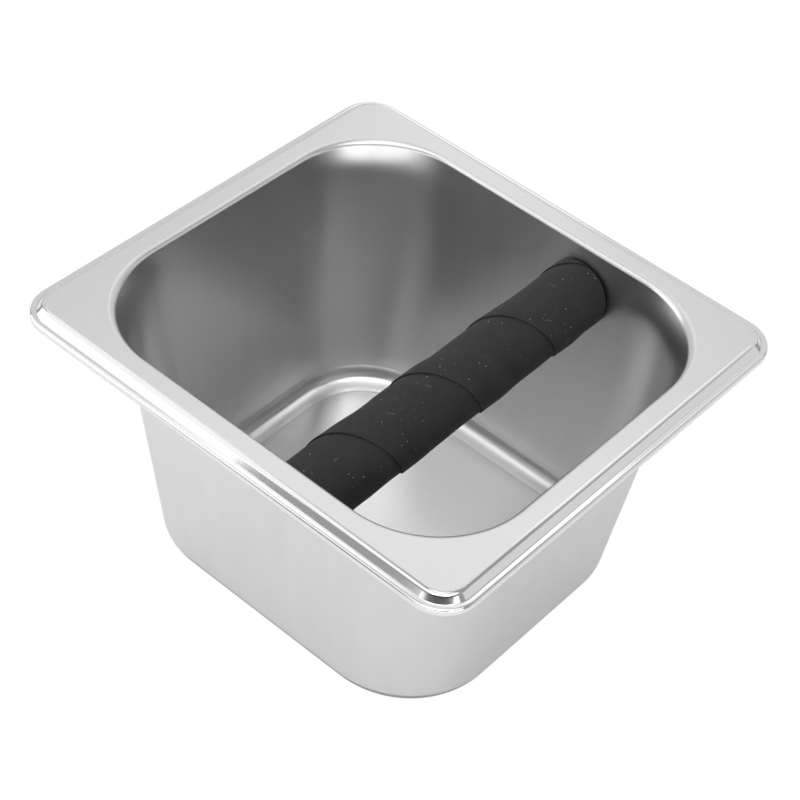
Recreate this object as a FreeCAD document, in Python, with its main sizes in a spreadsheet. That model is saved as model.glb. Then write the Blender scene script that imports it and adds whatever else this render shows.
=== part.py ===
import FreeCAD, Part
import math
import os
import Sketcher

# Espresso knock box: a gastronorm 1/6 pan with a padded bar across it.
# Millimetres. Origin at the middle of the resting plane, +X along the pan's long side, +Z up.
# The bar runs along Y. "front" is the -Y end of the bar, "back" the +Y end.

DRIVING_SIZES = [
    # Pan, outside
    ("pan_length", 176.0, "rim, long side (gastronorm 1/6)"),
    ("pan_width", 162.0, "rim, short side (gastronorm 1/6)"),
    ("pan_height", 98.0, "resting plane to top of rim"),
    ("sheet_thickness", 0.8, "stainless sheet"),
    # Rim, from its outer edge inwards
    ("lip_corner_radius", 12.5, "corner of the rim seen from above"),
    ("lip_height", 4.5, "top of rim down to the lip's cut edge"),
    ("lip_edge_radius", 1.0, "bend from the ledge down into the lip"),
    ("step_inset", 2.1, "lip's face to the foot of the step's slope"),
    ("step_run", 2.1, "foot of the step's slope to its top, seen from above"),
    ("step_drop", 2.4, "top of rim down to the ledge"),
    ("step_foot_radius", 0.6, "bend at the foot of the step"),
    ("step_top_radius", 1.8, "bend at the top of the step"),
    ("flange_width", 10.3, "lip's face to the start of the opening's bend"),
    # Bowl
    ("opening_edge_radius", 1.8, "bend from the flange into the wall"),
    ("opening_corner_radius", 36.5, "corner of the bowl at the top"),
    ("floor_corner_radius", 31.0, "corner of the bowl at the floor"),
    ("wall_draft", 6.8, "degrees each wall leans out"),
    ("base_radius", 6.0, "bend from wall to floor, inside"),
    ("gutter_width", 1.4, "flat ring the pan rests on"),
    ("floor_rise", 0.8, "raised middle of the floor"),
    ("rise_run", 4.5, "slope up to the raised middle"),
    ("rise_radius", 5.0, "bends of that slope"),
    ("screw_hole_diameter", 5.5, "holes in the walls for the bar's screws"),
    # Bar
    ("bar_offset", 19.3, "bar's axis from the pan's middle"),
    ("bar_drop", 17.5, "top of rim down to the bar's axis"),
    ("core_diameter", 16.0, "steel tube, outside"),
    ("core_bore", 13.0, "steel tube, inside"),
    ("insert_length", 18.0, "threaded plug in each end of the tube"),
    ("cushion_diameter", 21.4, "rubber sleeve, outside"),
    ("tape_diameter", 24.2, "wound tape at each cut edge"),
    ("tape_ply", 0.5, "one thickness of tape"),
    ("tape_pitch", 36.5, "one turn of tape along the bar"),
    ("tape_end_gap", 0.8, "ends of the tape and the sleeve to the wall"),
    ("fit_gap", 0.05, "gap between pieces that seat on each other"),
    # Screws and washers
    ("screw_diameter", 5.0, "M5 low head screw, thread"),
    ("screw_length", 12.0, "under the head"),
    ("head_diameter", 9.0, "M5 low head"),
    ("head_height", 1.5, "M5 low head"),
    ("head_flat_diameter", 8.0, "flat top of the head"),
    ("head_edge", 0.9, "upright edge of the head"),
    ("head_edge_radius", 0.4, "rounding of the head"),
    ("socket_size", 3.0, "hexagon socket across flats"),
    ("socket_depth", 2.0, "hexagon socket"),
    ("washer_diameter", 10.0, "M5 plain washer, outside"),
    ("washer_bore", 5.3, "M5 plain washer, inside"),
    ("washer_thickness", 1.0, "M5 plain washer"),
]

# Working allowances of the modelling itself, in millimetres
TOOL_MARGIN = 4.0
FORM_DEPTH = 10.0
EDGE_TOLERANCE = 0.02

doc = FreeCAD.newDocument("knock_box")
sheet = doc.addObject("Spreadsheet::Sheet", "Sizes")
for row, (alias, value, meaning) in enumerate(DRIVING_SIZES, start=1):
    sheet.set("A%d" % row, meaning)
    sheet.set("B%d" % row, str(value))
    sheet.setAlias("B%d" % row, alias)
doc.recompute()


def size(alias):
    """A driving size as a number, for finding edges and for checks."""
    return float(sheet.get(alias))


# Sizes that follow from the driving ones, as expressions
THICKNESS = "Sizes.sheet_thickness"
SLOPE = "tan(Sizes.wall_draft)"
BEND_REACH = "tan((90 - Sizes.wall_draft) / 2)"
TOP_SETBACK = "(Sizes.flange_width + Sizes.opening_edge_radius * %s)" % BEND_REACH
FLOOR_SETBACK = "(%s + (Sizes.pan_height - Sizes.sheet_thickness) * %s)" % (TOP_SETBACK, SLOPE)
WALL_SHIFT = "(Sizes.sheet_thickness / cos(Sizes.wall_draft))"
STEP_ANGLE = "atan(Sizes.step_drop / Sizes.step_run)"
RISE_ANGLE = "atan(Sizes.floor_rise / Sizes.rise_run)"
RISE_SETBACK = "(%s + Sizes.base_radius * %s + Sizes.gutter_width)" % (FLOOR_SETBACK, BEND_REACH)
BAR_HEIGHT = "(Sizes.pan_height - Sizes.bar_drop)"
WALL_AT_BAR = "(Sizes.pan_width / 2 - %s - Sizes.bar_drop * %s)" % (TOP_SETBACK, SLOPE)
SCREW_TILT = "90 + Sizes.wall_draft"
TAPE_TURNS = 3


def plane_of(body, role):
    """One of the body's own origin planes."""
    for feature in body.Origin.OriginFeatures:
        if feature.Role == role:
            return feature
    raise ValueError(role)


def new_sketch(body, name, role, level="0"):
    """A sketch on an origin plane, raised by level along the plane's normal."""
    sketch = body.newObject("Sketcher::SketchObject", name)
    sketch.AttachmentSupport = [(plane_of(body, role), "")]
    sketch.MapMode = "FlatFace"
    sketch.setExpression("AttachmentOffset.Base.z", level)
    return sketch


def drive(sketch, name, constraint, expression):
    """Adds a named dimension and binds it to the spreadsheet."""
    index = sketch.addConstraint(constraint)
    sketch.renameConstraint(index, name)
    sketch.setExpression("Constraints.%s" % name, expression)


def rounded_rectangle(body, name, level, half_length, half_width, corner):
    """Closed rounded rectangle centred on the axes, at a height."""
    sketch = new_sketch(body, name, "XY_Plane", level)
    along = 60.0
    across = 50.0
    bend = 12.0
    point = FreeCAD.Vector
    up = point(0, 0, 1)
    lines = [
        ((-along + bend, across), (along - bend, across)),
        ((along, across - bend), (along, -across + bend)),
        ((along - bend, -across), (-along + bend, -across)),
        ((-along, -across + bend), (-along, across - bend)),
    ]
    for start, end in lines:
        sketch.addGeometry(Part.LineSegment(point(*start), point(*end)), False)
    corners = [
        (along - bend, across - bend, 0),
        (along - bend, -across + bend, 270),
        (-along + bend, -across + bend, 180),
        (-along + bend, across - bend, 90),
    ]
    for centre_x, centre_y, start in corners:
        circle = Part.Circle(point(centre_x, centre_y), up, bend)
        arc = Part.ArcOfCircle(circle, math.radians(start), math.radians(start + 90))
        sketch.addGeometry(arc, False)
    for side in range(4):
        arc = 4 + side
        following = (side + 1) % 4
        sketch.addConstraint(Sketcher.Constraint("Tangent", side, 2, arc, 2))
        sketch.addConstraint(Sketcher.Constraint("Tangent", arc, 1, following, 1))
    for side in (0, 2):
        sketch.addConstraint(Sketcher.Constraint("Horizontal", side))
    for side in (1, 3):
        sketch.addConstraint(Sketcher.Constraint("Vertical", side))
    for arc in (4, 5, 6):
        sketch.addConstraint(Sketcher.Constraint("Equal", arc, arc + 1))
    sketch.addConstraint(Sketcher.Constraint("Symmetric", 4, 3, 6, 3, -1, 1))
    drive(sketch, "length", Sketcher.Constraint("DistanceX", 3, 1, 1, 1, 2 * along), "2 * (%s)" % half_length)
    drive(sketch, "width", Sketcher.Constraint("DistanceY", 2, 1, 0, 1, 2 * across), "2 * (%s)" % half_width)
    drive(sketch, "corner", Sketcher.Constraint("Radius", 4, bend), corner)
    return sketch


def inset_rectangle(body, name, level, inset, corner):
    """Rounded rectangle set back by inset from the rim's outline."""
    half_length = "Sizes.pan_length / 2 - (%s)" % inset
    half_width = "Sizes.pan_width / 2 - (%s)" % inset
    return rounded_rectangle(body, name, level, half_length, half_width, corner)


def circles(body, name, role, level, diameters):
    """Concentric circles on the origin."""
    sketch = new_sketch(body, name, role, level)
    for index, diameter in enumerate(diameters):
        guess = 10.0 - index
        circle = Part.Circle(FreeCAD.Vector(0, 0), FreeCAD.Vector(0, 0, 1), guess)
        sketch.addGeometry(circle, False)
        sketch.addConstraint(Sketcher.Constraint("Coincident", index, 3, -1, 1))
        drive(sketch, "diameter%d" % index, Sketcher.Constraint("Diameter", index, 2 * guess), diameter)
    return sketch


def polygon(body, name, role, corners):
    """Closed polygon whose corners are pairs (first guess, expression) for each of the two axes."""
    sketch = new_sketch(body, name, role)
    count = len(corners)
    guesses = [FreeCAD.Vector(corner[0][0], corner[1][0]) for corner in corners]
    for index in range(count):
        sketch.addGeometry(Part.LineSegment(guesses[index], guesses[(index + 1) % count]), False)
    for index in range(count):
        sketch.addConstraint(Sketcher.Constraint("Coincident", index, 2, (index + 1) % count, 1))
    for index, (across, along) in enumerate(corners):
        for axis, letter, (guess, expression) in (("DistanceX", "x", across), ("DistanceY", "y", along)):
            if expression == "0":
                rail = -2 if letter == "x" else -1
                sketch.addConstraint(Sketcher.Constraint("PointOnObject", index, 1, rail))
            else:
                constraint = Sketcher.Constraint(axis, -1, 1, index, 1, guess)
                drive(sketch, "%s%d" % (letter, index), constraint, expression)
    return sketch


def pad(body, name, sketch, length, symmetric=False):
    """Pads a sketch along its normal, or half each way."""
    feature = body.newObject("PartDesign::Pad", name)
    feature.Profile = sketch
    feature.setExpression("Length", length)
    if symmetric:
        feature.SideType = "Symmetric"
    return feature


def loft(body, name, kind, first, second):
    """Additive or subtractive loft between two sketches."""
    feature = body.newObject("PartDesign::%s" % kind, name)
    feature.Profile = first
    feature.Sections = [second]
    feature.Ruled = True
    return feature


def outline_distance(spot, half_length, half_width, corner):
    """Signed distance in plan from a rounded rectangle, negative inside."""
    over_x = abs(spot.x) - (half_length - corner)
    over_y = abs(spot.y) - (half_width - corner)
    outside = math.hypot(max(over_x, 0.0), max(over_y, 0.0))
    return outside + min(max(over_x, over_y), 0.0) - corner


def loop_edges(shape, sketch):
    """Names of the edges that lie on a rounded rectangle's outline."""
    half_length = sketch.getDatum("length").Value / 2
    half_width = sketch.getDatum("width").Value / 2
    corner = sketch.getDatum("corner").Value
    level = sketch.AttachmentOffset.Base.z
    names = []
    for number, edge in enumerate(shape.Edges, start=1):
        middle = edge.valueAt((edge.FirstParameter + edge.LastParameter) / 2)
        box = edge.BoundBox
        if abs(box.ZMin - level) > EDGE_TOLERANCE or abs(box.ZMax - level) > EDGE_TOLERANCE:
            continue
        if abs(outline_distance(middle, half_length, half_width, corner)) < EDGE_TOLERANCE:
            names.append("Edge%d" % number)
    return names


def round_loop(body, name, sketch, radius):
    """Fillets every edge that lies on a sketch's outline."""
    doc.recompute()
    base = body.Tip
    names = loop_edges(base.Shape, sketch)
    if not names:
        raise RuntimeError("%s: no edges" % name)
    feature = body.newObject("PartDesign::Fillet", name)
    feature.Base = (base, names)
    feature.setExpression("Radius", radius)
    return feature


def sheet_form(name, offset, grow):
    """Solid under one face of the pan's sheet: the upper face with offset 0, the lower with the thickness.

    grow is +1 or 0: how many thicknesses a hollow bend gains, and a crown bend loses, on this face.
    """
    body = doc.addObject("PartDesign::Body", name)
    gain = "%d * %s" % (grow, THICKNESS)
    wall_gain = "%d * %s" % (grow, WALL_SHIFT)
    ledge_level = "Sizes.pan_height - Sizes.step_drop - %s" % offset
    top_level = "Sizes.pan_height - %s" % offset
    floor_level = "%s - %s" % (THICKNESS, offset)
    step_foot_inset = "Sizes.step_inset + %s * tan(%s / 2)" % (offset, STEP_ANGLE)
    step_crown_inset = step_foot_inset + " + Sizes.step_run"
    # The cavity's outline follows the wall's slope down from the level of this face's top
    top_inset = "%s + %s * %s - %s" % (TOP_SETBACK, offset, SLOPE, wall_gain)
    floor_inset = "%s + %s * %s - %s" % (FLOOR_SETBACK, offset, SLOPE, wall_gain)
    rise_shift = "%s * tan(%s / 2)" % (offset, RISE_ANGLE)
    foot_inset = "%s + %s" % (RISE_SETBACK, rise_shift)
    crown_inset = "%s + Sizes.rise_run + %s" % (RISE_SETBACK, rise_shift)
    foot_corner = "Sizes.floor_corner_radius - Sizes.base_radius * %s - Sizes.gutter_width" % BEND_REACH

    lip_outline = inset_rectangle(body, name + "_lip_outline", "-%g" % FORM_DEPTH,
                                  gain, "Sizes.lip_corner_radius - " + gain)
    pad(body, name + "_rim_block", lip_outline, "%s + %g" % (ledge_level, FORM_DEPTH))
    step_foot = inset_rectangle(body, name + "_step_foot", ledge_level, step_foot_inset,
                                "Sizes.lip_corner_radius - (%s)" % step_foot_inset)
    step_crown = inset_rectangle(body, name + "_step_crown", top_level, step_crown_inset,
                                 "Sizes.lip_corner_radius - (%s)" % step_crown_inset)
    loft(body, name + "_step", "AdditiveLoft", step_foot, step_crown)
    opening = inset_rectangle(body, name + "_opening", top_level, top_inset,
                              "Sizes.opening_corner_radius + " + wall_gain)
    floor = inset_rectangle(body, name + "_floor", floor_level, floor_inset,
                            "Sizes.floor_corner_radius + " + wall_gain)
    loft(body, name + "_bowl", "SubtractiveLoft", opening, floor)
    rise_foot = inset_rectangle(body, name + "_rise_foot", floor_level, foot_inset, foot_corner)
    rise_crown = inset_rectangle(body, name + "_rise_crown", floor_level + " + Sizes.floor_rise",
                                 crown_inset, foot_corner + " - Sizes.rise_run")
    loft(body, name + "_rise", "AdditiveLoft", rise_foot, rise_crown)

    lip_crown = inset_rectangle(body, name + "_lip_crown", ledge_level, gain,
                                "Sizes.lip_corner_radius - " + gain)
    round_loop(body, name + "_opening_bend", opening, "Sizes.opening_edge_radius - " + gain)
    round_loop(body, name + "_base_bend", floor, "Sizes.base_radius + " + gain)
    round_loop(body, name + "_step_top_bend", step_crown, "Sizes.step_top_radius - " + gain)
    round_loop(body, name + "_step_foot_bend", step_foot, "Sizes.step_foot_radius + " + gain)
    round_loop(body, name + "_lip_bend", lip_crown, "Sizes.lip_edge_radius - " + gain)
    round_loop(body, name + "_rise_foot_bend", rise_foot, "Sizes.rise_radius + " + gain)
    round_loop(body, name + "_rise_crown_bend", rise_crown, "Sizes.rise_radius - " + gain)
    doc.recompute()
    return body


def bind(thing, **expressions):
    """Binds properties to expressions; a double underscore stands for a dot."""
    for path, expression in expressions.items():
        thing.setExpression(path.replace("__", "."), expression)
    return thing


def cut(name, base, tool):
    """Part cut of one object from another."""
    result = doc.addObject("Part::Cut", name)
    result.Base = base
    result.Tool = tool
    return result


def common(name, first, second):
    """Part common of two objects."""
    result = doc.addObject("Part::MultiCommon", name)
    result.Shapes = [first, second]
    return result


def block(name, inset, low, high):
    """Box set back by inset from the rim's outline, between two heights."""
    box = doc.addObject("Part::Box", name)
    return bind(box, Length="Sizes.pan_length - 2 * (%s)" % inset,
                Width="Sizes.pan_width - 2 * (%s)" % inset,
                Height="(%s) - (%s)" % (high, low),
                Placement__Base__x="(%s) - Sizes.pan_length / 2" % inset,
                Placement__Base__y="(%s) - Sizes.pan_width / 2" % inset,
                Placement__Base__z=low)


def aim_through_wall(thing, end):
    """Puts a piece's own origin on the wall's outer face at the bar's axis, its +Z out of the wall.

    end is -1 for the front wall and +1 for the back wall.
    """
    bind(thing, Placement__Base__x="Sizes.bar_offset",
         Placement__Base__y="%d * (%s + %s)" % (end, WALL_AT_BAR, WALL_SHIFT),
         Placement__Base__z=BAR_HEIGHT)
    thing.Placement.Rotation = FreeCAD.Rotation(FreeCAD.Vector(1, 0, 0), 90)
    thing.setExpression("Placement.Rotation.Angle", "%d * (%s)" % (-end, SCREW_TILT))
    return thing


def screw_path(name, end, diameter, outward, inward):
    """Cylinder along a screw's line, from outward of the wall's outer face to inward of it."""
    path = doc.addObject("Part::Cylinder", name)
    bind(path, Radius="%s / 2" % diameter, Height="%s + %s" % (outward, inward))
    aim_through_wall(path, end)
    # Starts inward of the outer face, along the line of the screw
    path.setExpression("Placement.Base.y", "%d * (%s + %s - (%s) * cos(Sizes.wall_draft))"
                       % (end, WALL_AT_BAR, WALL_SHIFT, inward))
    path.setExpression("Placement.Base.z", "%s + (%s) * sin(Sizes.wall_draft)" % (BAR_HEIGHT, inward))
    return path


def make_pan_shell():
    """The pan: two forms a sheet's thickness apart, trimmed along the lip, with two screw holes."""
    upper = sheet_form("upper_face", "0", 0)
    lower = sheet_form("lower_face", THICKNESS, 1)
    pressed = cut("pressed_sheet", upper, lower)
    lip_level = "Sizes.pan_height - Sizes.lip_height"
    below = "-%g" % (FORM_DEPTH + TOOL_MARGIN)
    around = block("trim_outside", "-%g" % TOOL_MARGIN, below, lip_level)
    keep = block("trim_inside", "Sizes.flange_width / 2", "-%g" % (FORM_DEPTH + 2 * TOOL_MARGIN),
                 lip_level + " + %g" % TOOL_MARGIN)
    trimmed = cut("trimmed_sheet", pressed, cut("trim", around, keep))
    holes = doc.addObject("Part::Compound", "screw_holes")
    margin = "%g" % TOOL_MARGIN
    holes.Links = [screw_path("hole_front", -1, "Sizes.screw_hole_diameter", margin, margin),
                   screw_path("hole_back", 1, "Sizes.screw_hole_diameter", margin, margin)]
    return cut("pan_shell", trimmed, holes)


def along_bar(body):
    """Puts a body's origin at the middle of the bar."""
    return bind(body, Placement__Base__x="Sizes.bar_offset", Placement__Base__z=BAR_HEIGHT)


def space_between_walls(name, clearance):
    """The room between the front and back walls, for cutting the bar's ends to the walls' slope."""
    wedge = doc.addObject("Part::Wedge", name)
    reach = "Sizes.tape_diameter"
    half = "(%s - %s)" % (WALL_AT_BAR, clearance)
    low = "(%s - %s * %s)" % (half, reach, SLOPE)
    high = "(%s + %s * %s)" % (half, reach, SLOPE)
    bind(wedge, Xmin="-" + reach, Xmax=reach, X2min="-" + reach, X2max=reach,
         Ymin="-" + reach, Ymax=reach, Zmin="-" + low, Zmax=low, Z2min="-" + high, Z2max=high)
    wedge.Placement.Rotation = FreeCAD.Rotation(FreeCAD.Vector(1, 0, 0), 90)
    return along_bar(wedge)


def make_core_tube(between):
    """Steel tube from wall to wall."""
    body = doc.addObject("PartDesign::Body", "core_blank")
    section = circles(body, "core_section", "XZ_Plane", "0", ["Sizes.core_diameter", "Sizes.core_bore"])
    pad(body, "core_pad", section, "Sizes.pan_width", symmetric=True)
    return common("bar_core_tube", along_bar(body), between)


def make_end_insert(name, end, between):
    """Plug pressed into one end of the tube, tapped square to the wall."""
    blank = doc.addObject("Part::Cylinder", name + "_blank")
    bind(blank, Radius="Sizes.core_bore / 2 - Sizes.fit_gap", Height="Sizes.insert_length + %g" % TOOL_MARGIN,
         Placement__Base__x="Sizes.bar_offset",
         Placement__Base__y="%d * (%s - Sizes.insert_length)" % (end, WALL_AT_BAR),
         Placement__Base__z=BAR_HEIGHT)
    blank.Placement.Rotation = FreeCAD.Rotation(FreeCAD.Vector(1, 0, 0), -90 * end)
    fitted = common(name + "_fitted", blank, between)
    thread = screw_path(name + "_thread", end, "(Sizes.screw_diameter + 2 * Sizes.fit_gap)",
                        "%g" % TOOL_MARGIN, "Sizes.screw_length + 1")
    return cut(name, fitted, thread)


def make_cushion_sleeve(between):
    """Rubber sleeve over the tube, ending clear of the walls."""
    body = doc.addObject("PartDesign::Body", "cushion_blank")
    section = circles(body, "cushion_section", "XZ_Plane", "0",
                      ["Sizes.cushion_diameter", "Sizes.core_diameter + 2 * Sizes.fit_gap"])
    pad(body, "cushion_pad", section, "Sizes.pan_width", symmetric=True)
    return common("cushion_sleeve", along_bar(body), between)


def make_grip_tape(between):
    """Wound tape: each turn starts proud at its cut edge and runs down to where the next one covers it."""
    body = doc.addObject("PartDesign::Body", "tape_blank")
    inner = (11.0, "Sizes.cushion_diameter / 2 + Sizes.fit_gap")
    crest = (12.2, "Sizes.tape_diameter / 2")
    valley = (11.7, "Sizes.tape_diameter / 2 - Sizes.tape_ply")
    near_end = (-81.0, "-Sizes.pan_width / 2")
    far_end = (81.0, "Sizes.pan_width / 2")
    corners = [(inner, near_end), (crest, near_end)]
    for turn in range(TAPE_TURNS, 0, -1):
        edge = (64.0 - 36.0 * turn, "%s - %d * Sizes.tape_pitch" % (WALL_AT_BAR, turn))
        corners.append((valley, edge))
        corners.append((crest, edge))
    corners += [(valley, far_end), (inner, far_end)]
    profile = polygon(body, "tape_profile", "XY_Plane", corners)
    wound = body.newObject("PartDesign::Revolution", "tape_turns")
    wound.Profile = profile
    wound.ReferenceAxis = (profile, ["V_Axis"])
    return common("grip_tape", along_bar(body), between)


def make_screw():
    """Low head screw through the front wall, its own +Z pointing out of the wall."""
    body = doc.addObject("PartDesign::Body", "screw_front")
    seat = "Sizes.washer_thickness"
    tip = "%s - Sizes.screw_length" % seat
    chamfer = "Sizes.screw_diameter / 8"
    top = "%s + Sizes.head_height" % seat
    shank = "Sizes.screw_diameter / 2"
    corners = [
        ((0.0, "0"), (-11.0, tip)),
        ((1.9, "%s - %s" % (shank, chamfer)), (-11.0, tip)),
        ((2.5, shank), (-10.4, "%s + %s" % (tip, chamfer))),
        ((2.5, shank), (1.0, seat)),
        ((4.5, "Sizes.head_diameter / 2"), (1.0, seat)),
        ((4.5, "Sizes.head_diameter / 2"), (1.9, "%s + Sizes.head_edge" % seat)),
        ((4.0, "Sizes.head_flat_diameter / 2"), (2.5, top)),
        ((0.0, "0"), (2.5, top)),
    ]
    profile = polygon(body, "screw_profile", "XZ_Plane", corners)
    turned = body.newObject("PartDesign::Revolution", "screw_turned")
    turned.Profile = profile
    turned.ReferenceAxis = (profile, ["V_Axis"])
    doc.recompute()
    round_head(body)
    cut_socket(body, top)
    return aim_through_wall(body, -1)


def round_head(body):
    """Rounds the two circles that bound the head's sloping side."""
    edge_level = size("washer_thickness") + size("head_edge")
    top_level = size("washer_thickness") + size("head_height")
    base = body.Tip
    names = []
    for number, edge in enumerate(base.Shape.Edges, start=1):
        box = edge.BoundBox
        flat = box.ZMax - box.ZMin < EDGE_TOLERANCE
        at_level = min(abs(box.ZMin - edge_level), abs(box.ZMin - top_level)) < EDGE_TOLERANCE
        if flat and at_level and box.XMax > size("screw_diameter") / 2:
            names.append("Edge%d" % number)
    feature = body.newObject("PartDesign::Fillet", "screw_head_round")
    feature.Base = (base, names)
    feature.setExpression("Radius", "Sizes.head_edge_radius")


def cut_socket(body, top):
    """Hexagon socket in the head."""
    sketch = new_sketch(body, "socket_outline", "XY_Plane", top)
    count = 6
    reach = size("socket_size") / math.sqrt(3)
    corners = []
    for index in range(count):
        angle = 2 * math.pi * index / count
        corners.append(FreeCAD.Vector(reach * math.cos(angle), reach * math.sin(angle)))
    for index in range(count):
        sketch.addGeometry(Part.LineSegment(corners[index], corners[(index + 1) % count]), False)
    sketch.addGeometry(Part.Circle(FreeCAD.Vector(0, 0), FreeCAD.Vector(0, 0, 1), reach), True)
    sketch.addConstraint(Sketcher.Constraint("Coincident", count, 3, -1, 1))
    for index in range(count):
        sketch.addConstraint(Sketcher.Constraint("Coincident", index, 2, (index + 1) % count, 1))
        sketch.addConstraint(Sketcher.Constraint("PointOnObject", index, 1, count))
    for index in range(count - 1):
        sketch.addConstraint(Sketcher.Constraint("Equal", index, index + 1))
    sketch.addConstraint(Sketcher.Constraint("PointOnObject", 0, 1, -1))
    drive(sketch, "corners", Sketcher.Constraint("Radius", count, reach), "Sizes.socket_size / sqrt(3)")
    doc.recompute()
    before = body.Tip.Shape.Volume
    socket = body.newObject("PartDesign::Pocket", "screw_socket")
    socket.Profile = sketch
    socket.setExpression("Length", "Sizes.socket_depth")
    doc.recompute()
    if socket.Shape.Volume >= before:
        raise RuntimeError("the socket removed nothing")


def make_washer():
    """Plain washer on the front wall's outer face."""
    body = doc.addObject("PartDesign::Body", "washer_front")
    section = circles(body, "washer_section", "XY_Plane", "0", ["Sizes.washer_diameter", "Sizes.washer_bore"])
    pad(body, "washer_pad", section, "Sizes.washer_thickness")
    return aim_through_wall(body, -1)


def both_ends(name, piece):
    """A piece at the front wall and its twin at the back wall, as one node."""
    twin = doc.addObject("Part::Mirroring", name + "_twin")
    twin.Source = piece
    twin.Base = FreeCAD.Vector(0, 0, 0)
    twin.Normal = FreeCAD.Vector(0, 1, 0)
    pair = doc.addObject("Part::Compound", name)
    pair.Links = [piece, twin]
    return pair


steel_room = space_between_walls("steel_room", "Sizes.fit_gap")
padding_room = space_between_walls("padding_room", "Sizes.tape_end_gap")
nodes = [
    make_pan_shell(),
    make_core_tube(steel_room),
    make_end_insert("end_insert_front", -1, steel_room),
    make_end_insert("end_insert_back", 1, steel_room),
    make_cushion_sleeve(padding_room),
    make_grip_tape(padding_room),
    both_ends("bar_screws", make_screw()),
    both_ends("screw_washers", make_washer()),
]
doc.recompute()

for thing in doc.Objects:
    if "Invalid" in thing.State or "Error" in thing.State:
        raise RuntimeError("%s: %s" % (thing.Name, thing.State))

os.makedirs("parts", exist_ok=True)
for node in nodes:
    shape = node.Shape
    if shape.isNull() or not shape.isValid():
        raise RuntimeError("%s has no valid shape" % node.Label)
    box = shape.BoundBox
    print("%-18s solids %d  volume %9.1f  x %7.2f %7.2f  y %7.2f %7.2f  z %7.2f %7.2f" % (
        node.Label, len(shape.Solids), shape.Volume,
        box.XMin, box.XMax, box.YMin, box.YMax, box.ZMin, box.ZMax))
    shape.exportStep("parts/%s.step" % node.Label)
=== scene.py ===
import math

import bmesh
import bpy
from mathutils import Matrix, Vector


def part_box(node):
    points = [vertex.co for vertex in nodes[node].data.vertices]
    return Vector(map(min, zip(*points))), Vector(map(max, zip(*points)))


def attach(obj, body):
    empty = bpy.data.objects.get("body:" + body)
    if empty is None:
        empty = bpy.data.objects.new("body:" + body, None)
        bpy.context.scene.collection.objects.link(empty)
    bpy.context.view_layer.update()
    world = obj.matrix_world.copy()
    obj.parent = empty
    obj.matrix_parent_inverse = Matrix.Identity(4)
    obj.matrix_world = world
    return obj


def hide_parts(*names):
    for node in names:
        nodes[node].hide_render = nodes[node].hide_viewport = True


# Espresso knock box: stainless pan with a tape-wound bar across it, on a pale studio floor.
# Metres, in the CAD frame: origin in the resting plane, bar along Y, Z up.

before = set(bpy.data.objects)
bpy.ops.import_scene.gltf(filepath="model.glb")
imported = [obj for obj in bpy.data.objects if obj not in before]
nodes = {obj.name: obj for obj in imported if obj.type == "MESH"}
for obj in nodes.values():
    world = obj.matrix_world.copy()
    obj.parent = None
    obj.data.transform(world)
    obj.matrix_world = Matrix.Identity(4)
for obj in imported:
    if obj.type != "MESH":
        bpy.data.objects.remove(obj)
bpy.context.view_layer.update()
scene = bpy.context.scene

MM = 0.001

# ---------------------------------------------------------------- sizes of the pressed pan

PAN_LOW, PAN_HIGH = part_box("pan_shell")
PAN_LENGTH = PAN_HIGH.x - PAN_LOW.x
PAN_WIDTH = PAN_HIGH.y - PAN_LOW.y
RIM_TOP = PAN_HIGH.z
SHEET = 0.8 * MM

# Lip, ledge and the step that slopes up to the flange
LIP_CORNER = 12.5 * MM
LIP_HEIGHT = 4.5 * MM
LIP_EDGE_RADIUS = 1.0 * MM
STEP_INSET = 2.1 * MM
STEP_RUN = 2.1 * MM
STEP_DROP = 2.4 * MM
STEP_FOOT_RADIUS = 0.6 * MM
STEP_TOP_RADIUS = 2.4 * MM
STEP_ANGLE = math.atan(STEP_DROP / STEP_RUN)

# The lip's cut edge: its rounding's height, and its profile as shares of the sheet and of that height
CUT_EDGE_ROUND = 0.24 * MM
CUT_EDGE_PROFILE = ((0.0, 0.3), (0.3, 0.0), (0.7, 0.0), (1.0, 0.3))

# Flange, opening and walls; the wall's corners flare out just under the opening
FLANGE_WIDTH = 10.3 * MM
FLANGE_CORNER = 34.5 * MM
FLANGE_SHARES = (0.04, 0.5, 0.96)
OPENING_RADIUS = 1.8 * MM
WALL_CORNER = 40.0 * MM
FLARE_DEPTH = 12.5 * MM
FLOOR_CORNER = 31.0 * MM
DRAFT = math.radians(6.8)
BASE_RADIUS = 6.0 * MM

# The faint line that the draw leaves round the wall; its profile is in shares of half width and height
DRAW_LINE_HEIGHT = 0.04 * MM
DRAW_LINE_HALF = 0.5 * MM
DRAW_LINE_PROFILE = ((-1.0, 0.0), (-0.5, 0.5), (0.0, 1.0), (0.5, 0.5), (1.0, 0.0))

# Gutter and raised floor
GUTTER_WIDTH = 1.2 * MM
FLOOR_RISE = 0.8 * MM
RISE_RUN = 2.2 * MM
RISE_FOOT_RADIUS = 0.8 * MM
RISE_CROWN_RUN = 8.0 * MM
FLOOR_DOME = 0.35 * MM

SCREW_HOLE = 5.5 * MM
DRILL_LENGTH = 8.0 * MM

# A bend between a level face and the wall reaches this many radii along each of them
BEND_REACH = math.tan((math.pi / 2 - DRAFT) / 2)
TOP_SETBACK = FLANGE_WIDTH + OPENING_RADIUS * BEND_REACH
FLOOR_SETBACK = TOP_SETBACK + (RIM_TOP - SHEET) * math.tan(DRAFT)
RISE_SETBACK = FLOOR_SETBACK + BASE_RADIUS * BEND_REACH + GUTTER_WIDTH
RISE_REACH = RISE_FOOT_RADIUS * math.tan(math.atan(FLOOR_RISE / RISE_RUN) / 2)

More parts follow.
